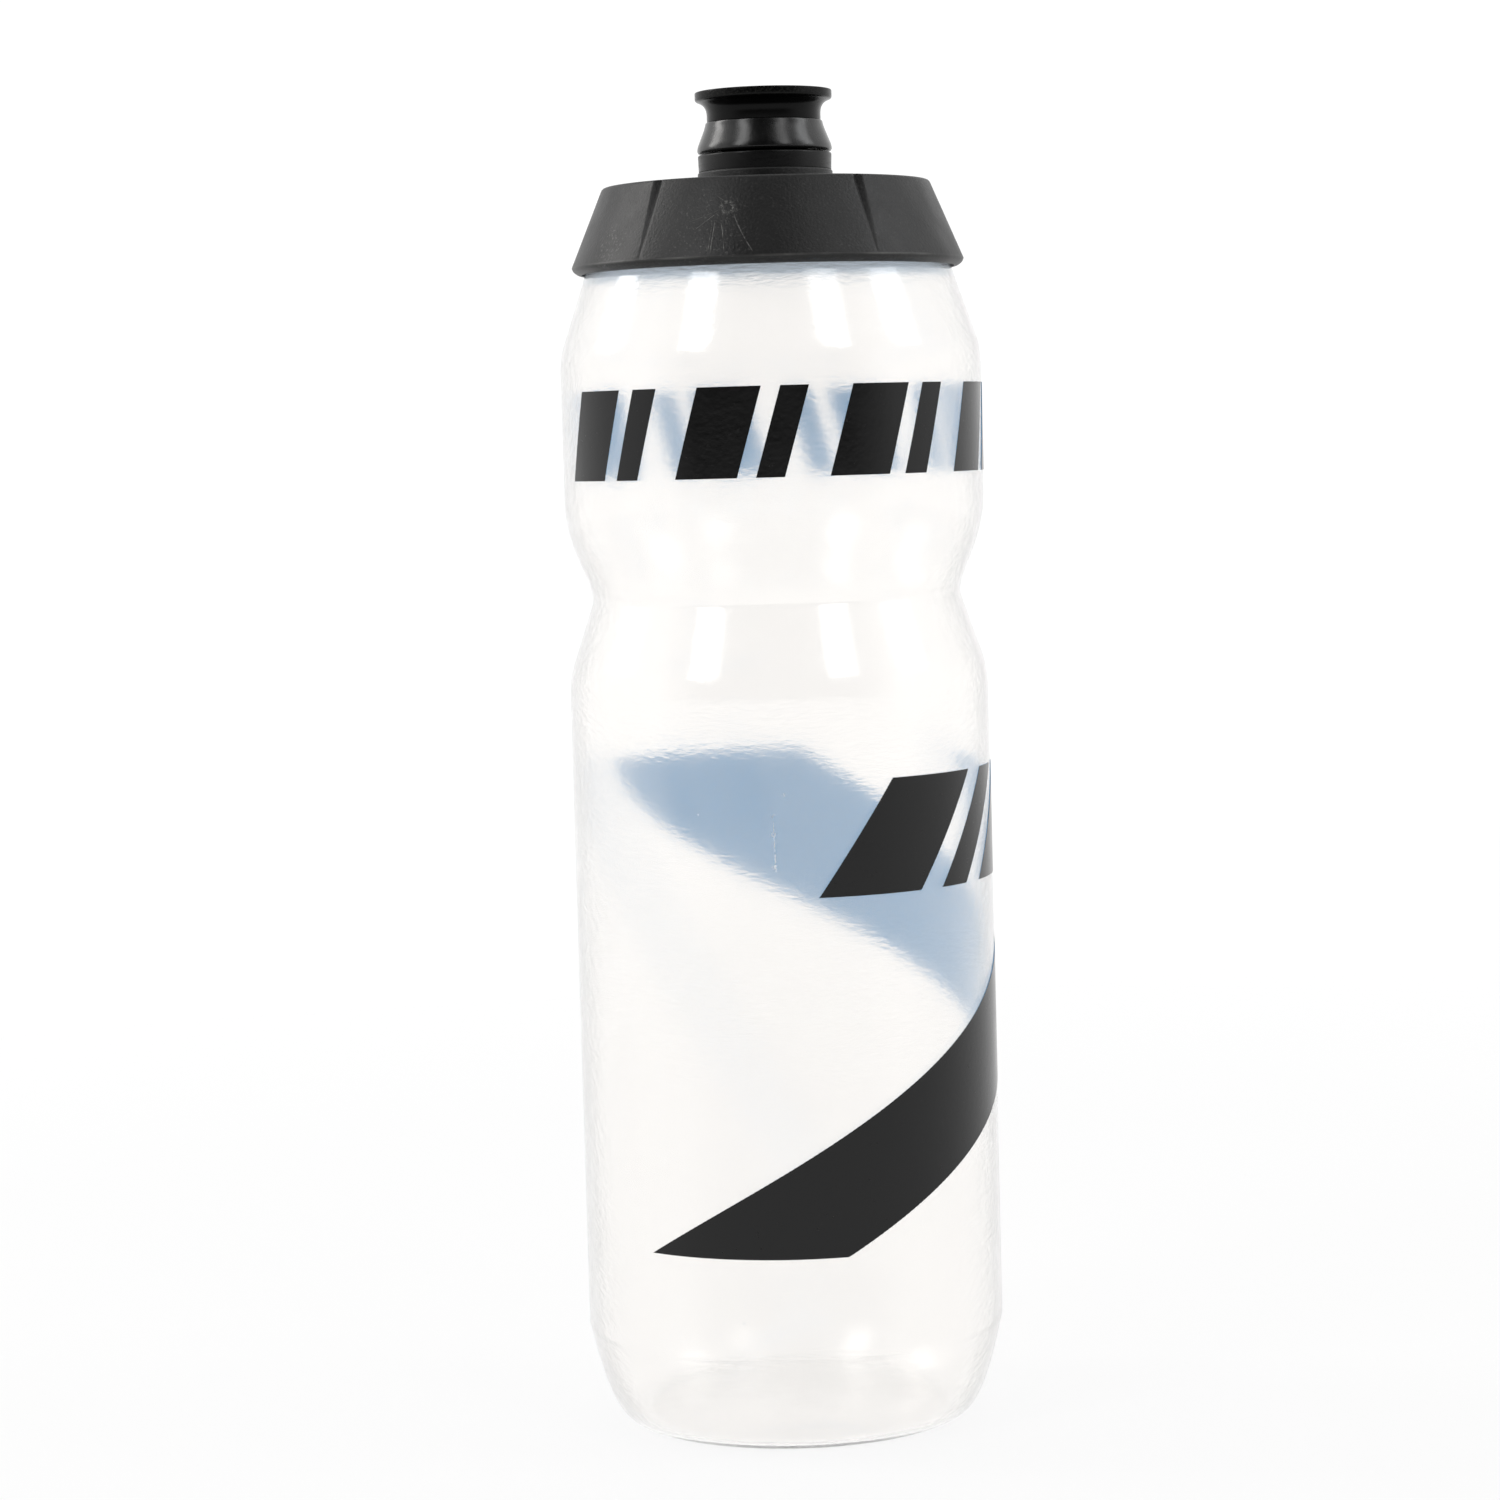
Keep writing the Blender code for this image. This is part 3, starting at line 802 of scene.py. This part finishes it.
class Look(Nodes):
    """One procedural material: a Principled shader and the few nodes that feed it."""

    def __init__(self, name, **plain):
        self.material = bpy.data.materials.new(name)
        self.material.use_nodes = True
        super().__init__(self.material.node_tree, "Object")
        self.shader = self.tree.nodes["Principled BSDF"]
        for socket, value in plain.items():
            self.shader.inputs[socket.replace("_", " ")].default_value = value

    def noise(self, size_mm, detail=2.0, stretch=(1, 1, 1), roughness=0.5):
        """Noise whose patches are about size_mm across, longer along an axis whose stretch is under 1."""
        mapping = self.add("ShaderNodeMapping")
        mapping.inputs["Scale"].default_value = stretch
        self.link(self.place, mapping.inputs["Vector"])
        node = self.add("ShaderNodeTexNoise")
        node.inputs["Scale"].default_value = 1 / (size_mm * MM)
        node.inputs["Detail"].default_value = detail
        node.inputs["Roughness"].default_value = roughness
        self.link(mapping.outputs[0], node.inputs["Vector"])
        return node.outputs["Fac"]

    def near(self, point_mm, reach_mm):
        """1 at a point of the object, falling to 0 at reach."""
        node = self.add("ShaderNodeVectorMath")
        node.operation = "DISTANCE"
        self.link(self.place, node.inputs[0])
        node.inputs[1].default_value = [c * MM for c in point_mm]
        return self.spread(node.outputs["Value"], 0, reach_mm * MM, 1, 0)

    def scratch(self, top_deg, top_z, low_deg, low_z, bend):
        """A fine curved line down the front of the object, 1 on the line and 0 beside it."""
        apart = self.add("ShaderNodeSeparateXYZ")
        self.link(self.place, apart.inputs[0])
        away = self.maths("MULTIPLY", apart.outputs["Y"], -1)
        angle = self.maths("ARCTAN2", apart.outputs["X"], away)
        down = self.spread(apart.outputs["Z"], top_z * MM, low_z * MM, 0, 1)
        bent = self.maths("POWER", down, bend)
        path = self.spread(bent, 0, 1, math.radians(top_deg), math.radians(low_deg))
        off = self.maths("ABSOLUTE", self.maths("SUBTRACT", angle, path))
        line = self.spread(off, 0, math.radians(SCRATCH_HALF_DEG), 1, 0)
        ends = self.maths("MULTIPLY", down, self.maths("SUBTRACT", 1, down))
        shown = self.spread(ends, 0, 0.12, 0, 1)
        broken = self.spread(self.noise(0.8, 3), 0.42, 0.58, 0.15, 1)
        return self.maths("MULTIPLY", self.maths("MULTIPLY", line, shown), broken)

    def height_z(self):
        node = self.add("ShaderNodeSeparateXYZ")
        self.link(self.place, node.inputs[0])
        return node.outputs["Z"]

    def colours(self, amount, first, second):
        node = self.add("ShaderNodeMix")
        node.data_type = "RGBA"
        node.inputs["A"].default_value = (*first, 1)
        node.inputs["B"].default_value = (*second, 1)
        self.link(amount, node.inputs["Factor"])
        self.link(node.outputs["Result"], self.shader.inputs["Base Color"])

    def glow(self, colour, strength):
        self.shader.inputs["Emission Color"].default_value = (*colour, 1)
        self.shader.inputs["Emission Strength"].default_value = strength

    def rough(self, source):
        self.link(source, self.shader.inputs["Roughness"])

    def bumps(self, *layers):
        """Layers of (height, depth in mm), the coarse ones first."""
        normal = None
        for height, depth in layers:
            node = self.add("ShaderNodeBump")
            node.inputs["Distance"].default_value = depth * MM
            self.link(height, node.inputs["Height"])
            if normal:
                self.link(normal, node.inputs["Normal"])
            normal = node.outputs["Normal"]
        self.link(normal, self.shader.inputs["Normal"])
        self.link(normal, self.shader.inputs["Coat Normal"])


def on_bottle(angle, r, z):
    """The point (x, y, z) in millimetres at an angle round the bottle."""
    a = math.radians(angle)
    return (r * math.sin(a), -r * math.cos(a), z)


def milky_plastic():
    """Soft translucent plastic: it blurs what is behind it, has a faint painted white glow for the light
    it scatters, and a painted shade under the cap.
    """
    look = Look("milky_ldpe", Transmission_Weight=0.93, IOR=1.45, Coat_Weight=0.4, Coat_Roughness=0.06)
    # A faint painted white glow, in place of light that the wall scatters.
    look.glow(PAINTED_GLOW_WHITE, PAINTED_GLOW_STRENGTH)
    # A painted shade of the cap along the top of the wall, with a ragged edge; dust specks take the same
    # grey.
    ragged = look.maths("MULTIPLY", look.noise(1.5, 4, stretch=(0.4, 0.4, 2)), UNDER_CAP_RAGGED * MM)
    height = look.maths("ADD", look.height_z(), ragged)
    painted_shade_and_specks = look.spread(height, UNDER_CAP_Z * MM, (UNDER_CAP_Z + UNDER_CAP_FADE) * MM, 0, 1)
    for angle, z, size in SPECKS:
        painted_shade_and_specks = look.maths("MAXIMUM", painted_shade_and_specks, look.near(on_bottle(angle, BODY_R, z), size))
    look.colours(painted_shade_and_specks, LIT_COLOUR, PAINTED_SHADE_AND_SPECK_COLOUR)
    torn = look.spread(look.noise(0.35, 3, stretch=(1, 1, 0.5)), 0.48, 0.56, 0, 1)
    nicks = look.scratch(*WALL_SCRATCH)
    for angle, z, size in NICKS:
        nicks = look.maths("MAXIMUM", nicks, look.near(on_bottle(angle, BODY_R, z), size))
    nicks = look.maths("MULTIPLY", look.spread(nicks, 0, 0.3, 0, 1), torn)
    even = look.spread(look.noise(7, 3, stretch=(1, 1, 0.4)), 0.3, 0.7, 0.13, 0.17)
    look.rough(look.maths("ADD", even, look.maths("MULTIPLY", nicks, 0.4)))
    look.bumps(
        (look.noise(14, 1, stretch=(1, 1, 0.5)), 0.035),
        (look.noise(1.1, 2, stretch=(0.6, 0.6, 1.6)), 0.026),
        (nicks, 0.02),
    )
    return look.material


def ink():
    look = Look("black_ink", IOR=1.45, Specular_IOR_Level=0.4)
    patches = look.noise(8, 3)
    even = look.spread(patches, 0.3, 0.7, 0, 1)
    look.colours(even, (0.0012, 0.0012, 0.0013), (0.0022, 0.0022, 0.0023))
    pores = look.spread(look.noise(0.9, 3), 0.68, 0.76, 0, 0.25)
    look.rough(look.maths("ADD", look.spread(patches, 0.3, 0.7, 0.15, 0.21), pores))
    look.bumps((look.noise(14, 1, stretch=(1, 1, 0.5)), 0.035), (look.noise(1.0, 2), 0.015))
    return look.material


def ink_back():
    """The ink's side against the wall, in a painted blue with a painted blue glow. Both stand for light
    that a milky wall scatters over black.
    """
    look = Look("ink_underside", IOR=1.4)
    # Painted glow and painted blue base colour, in place of light scattered in the wall over the black
    # ink.
    look.glow(PAINTED_GLOW_BLUE, 0.5)
    patches = look.noise(1.4, 3, stretch=(1, 1, 2.2))
    look.colours(look.spread(patches, 0.3, 0.7, 0, 1), (0.012, 0.165, 0.35), (0.02, 0.21, 0.41))
    look.rough(look.spread(patches, 0.3, 0.7, 0.6, 0.7))
    return look.material


def cap_wear(look):
    """Scratches on the cap, and a torn ring of scuffs round the gate mark."""
    torn = look.spread(look.noise(0.5, 5, roughness=0.8), 0.48, 0.58, 0, 1)
    gate = on_bottle(GATE_DEG, cone_radius(GATE_Z), GATE_Z)
    from_gate = look.near(gate, SCUFF_ROUND_GATE_REACH)
    outside = look.spread(from_gate, 0.25, 0.5, 0, 1)
    inside = look.spread(from_gate, 0.62, 0.7, 1, 0)
    wear = look.maths("MULTIPLY", torn, look.maths("MULTIPLY", outside, inside))
    for scratch in SCRATCHES:
        wear = look.maths("MAXIMUM", wear, look.scratch(*scratch))
    return wear


def cap_dust(look):
    """Fine pale dust all over the cap, thicker on its two scuffed places."""
    dust = look.spread(look.noise(0.5, 3, roughness=0.7), 0.58, 0.7, 0, 1)
    by_gate = look.near(on_bottle(*SCUFF_BY_GATE), SCUFF_BY_GATE_REACH)
    on_left = look.near(on_bottle(*SCUFF_ON_LEFT), SCUFF_ON_LEFT_REACH)
    scuffed = look.spread(by_gate, 0, 0.6, 0.12, 0.5)
    rubbed = look.spread(on_left, 0, 0.6, 0, 1.5)
    return look.maths("MULTIPLY", dust, look.maths("MAXIMUM", scuffed, rubbed))


def painted_rim_highlight(look, blotch):
    """A patchy light line along the rim's edge: a painted highlight."""
    from_rim = look.maths("ABSOLUTE", look.maths("SUBTRACT", look.height_z(), CAP_RIM_Z * MM))
    line = look.spread(from_rim, 0.1 * MM, 0.25 * MM, 0.5, 0)
    return look.maths("MULTIPLY", line, look.spread(blotch, 0.4, 0.6, 0.2, 1))


def cap_plastic():
    """Matte plastic, in a black that is paler where it is scratched, dusty or blotched, and along a
    painted highlight on the rim's edge.
    """
    look = Look("matte_black_pp", IOR=1.48, Specular_IOR_Level=0.36)
    blotch = look.noise(12, 4)
    wear = cap_wear(look)
    # The pale marks are wear and dust, and a painted highlight along the rim's edge.
    marks = look.maths("MAXIMUM", wear, painted_rim_highlight(look, blotch))
    marks = look.maths("MAXIMUM", marks, cap_dust(look))
    even = look.maths("MULTIPLY", look.spread(blotch, 0.35, 0.65, 0, 1), 0.02)
    look.colours(look.maths("ADD", marks, even), (0.0024, 0.0024, 0.0025), (0.12, 0.119, 0.113))
    look.rough(look.spread(look.noise(5, 3), 0.3, 0.7, 0.38, 0.46))
    look.bumps((look.noise(7, 2), 0.03), (wear, 0.04), (look.noise(0.45, 3), 0.07))
    return look.material


def satin_plastic():
    look = Look("satin_black_pp", IOR=1.49, Specular_IOR_Level=0.22)
    scuffs = look.spread(look.noise(0.5, 4, stretch=(1, 1, 3)), 0.64, 0.74, 0, 0.4)
    look.colours(scuffs, (0.003, 0.003, 0.0031), (0.03, 0.029, 0.028))
    look.rough(look.spread(look.noise(1.5, 3, stretch=(1, 1, 4)), 0.3, 0.7, 0.26, 0.38))
    look.bumps((look.noise(0.5, 2), 0.006),)
    return look.material


def gloss_plastic():
    look = Look("gloss_black_pp", IOR=1.5)
    scuffs = look.spread(look.noise(0.4, 4, stretch=(3, 3, 0.4)), 0.64, 0.74, 0, 0.3)
    look.colours(scuffs, (0.002, 0.002, 0.0021), (0.03, 0.03, 0.029))
    look.rough(look.spread(look.noise(1.2, 3, stretch=(1, 1, 0.2)), 0.3, 0.7, 0.2, 0.3))
    look.bumps((look.noise(3, 2), 0.02), (look.noise(0.35, 2, stretch=(1, 1, 0.3)), 0.003))
    return look.material


def tip_plastic():
    """Glossy soft plastic, with a little dust on the lip."""
    look = Look("bite_tip_black", IOR=1.45, Specular_IOR_Level=0.13)
    on_lip = look.spread(look.height_z(), (LIP_TOP_Z - 1.6) * MM, (LIP_TOP_Z - 1.1) * MM, 0.04, 1)
    dust = look.spread(look.noise(0.5, 5, stretch=(1, 1, 1.5), roughness=0.7), 0.45, 0.7, 0.0, 0.7)
    amount = look.maths("MULTIPLY", on_lip, dust)
    look.colours(amount, (0.0012, 0.0012, 0.0012), (0.016, 0.0155, 0.014))
    look.rough(look.spread(amount, 0, 0.7, 0.22, 0.45))
    look.bumps((look.noise(2.5, 2), 0.02), (look.noise(0.3, 2), 0.003))
    return look.material


def core_plastic():
    look = Look("core_plastic", IOR=1.48)
    patches = look.spread(look.noise(2, 3), 0.3, 0.7, 0, 1)
    look.colours(patches, (0.008, 0.008, 0.008), (0.014, 0.014, 0.014))
    look.rough(look.spread(look.noise(1, 3), 0.3, 0.7, 0.34, 0.46))
    look.bumps((look.noise(0.5, 2), 0.005),)
    return look.material


def seal_rubber():
    look = Look("seal_rubber", IOR=1.5)
    patches = look.spread(look.noise(1.5, 3), 0.3, 0.7, 0, 1)
    look.colours(patches, (0.012, 0.012, 0.012), (0.03, 0.03, 0.03))
    look.rough(look.spread(look.noise(0.8, 3), 0.3, 0.7, 0.6, 0.75))
    look.bumps((look.noise(0.3, 2), 0.008),)
    return look.material


def paint(piece, *materials):
    """Gives a piece its materials, and leaves each face's own choice among them."""
    chosen = [face.material_index for face in piece.data.polygons]
    piece.data.materials.clear()
    for material in materials:
        piece.data.materials.append(material)
    piece.data.polygons.foreach_set("material_index", chosen)


# ---------------------------------------------------------------- studio

# Lengths are in metres from here on, but for the lens and its sensor.
FLOOR_R = 1.6
FLOOR_SIDES = 128
FLOOR_FADE = (0.3, 1.3)
FLOOR_GREY = 0.07
FLOOR_GLOW = 0.885

# The strip lights: name, angle round the bottle, elevation, width, radiance and colour.
WARM = (1, 0.985, 0.965)
WHITE = (1, 1, 1)
COOL = (0.97, 0.985, 1)
STRIPS = (
    ("strip_far_left", -105, 34, 0.34, 6.2, WARM),
    ("strip_left", -45, 36, 0.34, 5.0, WHITE),
    ("strip_right", 38, 36, 0.38, 2.9, WHITE),
    ("strip_far_right", 84, 34, 0.42, 3.0, COOL),
)
STRIP_LENGTH = 0.80
STRIP_DISTANCE = 1.35
STRIP_TARGET_Z = 0.15

# The room's brightness low down and overhead, and how much of it the camera's side loses. The RISE
# ranges are of a direction's z and DIM_SIDE is of its y. Low down, NARROWING makes that side narrower.
ROOM_WHITE = 1.06
ROOM_TOP = 1.0
ROOM_DIMMING = 0.95
OVERHEAD_RISE = (0.2, 0.6)
NARROWING_RISE = (0.15, 0.5)
NARROWING = 0.13
DIM_SIDE = (-0.2, -0.6)
ABOVE_FLOOR_RISE = (-0.06, 0.0)

# The camera, in front of the bottle and looking a little down.
EYE_DISTANCE = 0.6885
EYE_HEIGHT = 0.174
EYE_PITCH_DEG = 4.62
EYE_YAW_DEG = 0.455
EYE_ROLL_DEG = -1.6
LENS_MM = 93.6
SENSOR_MM = 36
NEAREST = 0.01


def make_floor():
    """A white disc that fades out at its edge, so that no horizon shows."""
    bpy.ops.mesh.primitive_circle_add(vertices=FLOOR_SIDES, radius=FLOOR_R, fill_type="NGON")
    floor = bpy.context.object
    floor.name = "studio_floor"
    grey = (FLOOR_GREY, FLOOR_GREY, FLOOR_GREY, 1)
    look = Look("floor_paper", Base_Color=grey, Roughness=0.9, Specular_IOR_Level=0.1)
    look.glow(WHITE, FLOOR_GLOW)
    distance = look.add("ShaderNodeVectorMath")
    distance.operation = "LENGTH"
    look.link(look.place, distance.inputs[0])
    fade = look.spread(distance.outputs["Value"], *FLOOR_FADE, 1, 0)
    look.link(fade, look.shader.inputs["Alpha"])
    paint(floor, look.material)


def make_strip(name, angle, elevation, width, radiance, colour):
    """A strip light that faces the bottle, at an angle round it and an elevation above it."""
    a, e = math.radians(angle), math.radians(elevation)
    away = Vector((math.sin(a) * math.cos(e), -math.cos(a) * math.cos(e), math.sin(e)))
    data = bpy.data.lights.new(name, "AREA")
    data.shape = "RECTANGLE"
    data.size = width
    data.size_y = STRIP_LENGTH
    data.energy = radiance * math.pi * width * STRIP_LENGTH
    data.color = colour
    light = linked_object(name, data)
    light.location = Vector((0, 0, STRIP_TARGET_Z)) + away * STRIP_DISTANCE
    light.rotation_euler = away.to_track_quat("Z", "Y").to_euler()


def make_world():
    """A white room with a dim side behind the camera, so that the black pieces stay black."""
    world = bpy.data.worlds.new("studio")
    bpy.context.scene.world = world
    world.use_nodes = True
    shader = world.node_tree.nodes["Background"]
    nodes = Nodes(world.node_tree, "Generated")
    apart = nodes.add("ShaderNodeSeparateXYZ")
    nodes.link(nodes.place, apart.inputs[0])
    rise = apart.outputs["Z"]
    undimmed = nodes.spread(rise, *OVERHEAD_RISE, ROOM_WHITE, ROOM_TOP)
    narrowed = nodes.spread(rise, *NARROWING_RISE, NARROWING, 0)
    towards_camera = nodes.spread(nodes.maths("ADD", apart.outputs["Y"], narrowed), *DIM_SIDE, 0, 1)
    above_floor = nodes.spread(rise, *ABOVE_FLOOR_RISE, 0, 1)
    dim = nodes.maths("MULTIPLY", nodes.maths("MULTIPLY", towards_camera, above_floor), ROOM_DIMMING)
    level = nodes.maths("MULTIPLY", undimmed, nodes.maths("SUBTRACT", 1.0, dim))
    nodes.link(level, shader.inputs["Strength"])
    shader.inputs["Color"].default_value = (*WHITE, 1)


def make_camera():
    data = bpy.data.cameras.new("camera")
    data.lens = LENS_MM
    data.sensor_width = SENSOR_MM
    data.clip_start = NEAREST
    camera = linked_object("camera", data)
    camera.matrix_world = (
        Matrix.Translation((0, -EYE_DISTANCE, EYE_HEIGHT))
        @ Matrix.Rotation(math.radians(EYE_YAW_DEG), 4, "Z")
        @ Matrix.Rotation(math.radians(90 - EYE_PITCH_DEG), 4, "X")
        @ Matrix.Rotation(math.radians(EYE_ROLL_DEG), 4, "Z")
    )
    bpy.context.scene.camera = camera


def make_studio():
    make_camera()
    make_world()
    make_floor()
    for strip in STRIPS:
        make_strip(*strip)
    view = bpy.context.scene.view_settings
    view.view_transform = "Standard"
    view.look = "None"


def place_pieces():
    """Puts each turned piece on its body, in place of its CAD node."""
    rubber = seal_rubber()
    made = [
        (make_gasket(), "gasket", "cap_gasket", "seal_rubber", rubber),
        (make_housing_seal(), "cap", "housing_seal", "seal_rubber", rubber),
        (make_stem_seal(), "mouthpiece", "stem_seal", "seal_rubber", rubber),
        (make_body(), "bottle", "bottle_body", "milky_ldpe", milky_plastic()),
        (make_cap(), "cap", "screw_cap", "matte_black_pp", cap_plastic()),
        (make_housing(), "cap", "valve_housing", "satin_black_pp", satin_plastic()),
        (make_core(), "cap", "valve_core", "core_plastic", core_plastic()),
        (make_mouthpiece_base(), "mouthpiece", "mouthpiece_base", "gloss_black_pp", gloss_plastic()),
        (make_bite_tip(), "mouthpiece", "bite_tip", "bite_tip_black", tip_plastic()),
    ]
    for piece, body, node, slot, material in made:
        paint(piece, material)
        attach(piece, body)
        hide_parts(node)


def place_prints():
    front, back = ink(), ink_back()
    for piece in make_prints():
        paint(piece, front, back)
        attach(piece, "bottle")


make_studio()
place_pieces()
place_prints()
